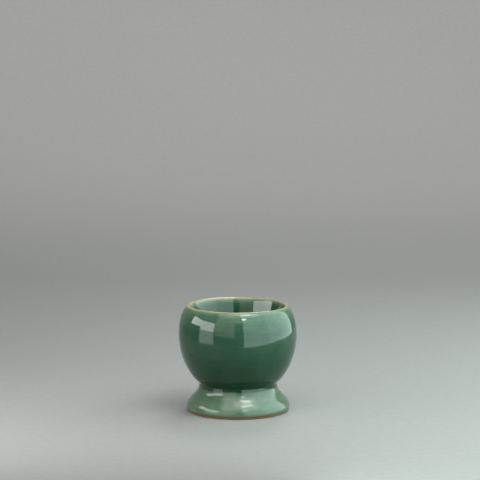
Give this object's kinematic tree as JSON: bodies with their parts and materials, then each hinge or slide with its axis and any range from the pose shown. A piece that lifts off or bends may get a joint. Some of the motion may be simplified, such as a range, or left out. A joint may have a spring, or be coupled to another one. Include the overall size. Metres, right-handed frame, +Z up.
{
  "type": "brush holder pot",
  "caption": "Round stoneware pot with a glossy green celadon glaze, closed in at the mouth and standing on a flared foot, for holding brushes or brush water on a writing desk.",
  "frame": {"origin": "centre of the foot's flat resting face", "axes": "+Z up along the pot's turning axis, towards the mouth; +X and +Y are free, because the pot is round"},
  "size_m": [0.1, 0.1, 0.0903],
  "materials": {
    "stoneware": "matte",
    "slip": "matte",
    "celadon_glaze": "gloss",
    "thin_glaze": "gloss"
  },
  "bodies": {
    "root": {"bowl": "stoneware", "foot_ring": "stoneware", "luting_slip": "slip", "outer_glaze": "celadon_glaze", "inner_glaze": "celadon_glaze", "underside_glaze": "thin_glaze"}
  },
  "joints": []
}
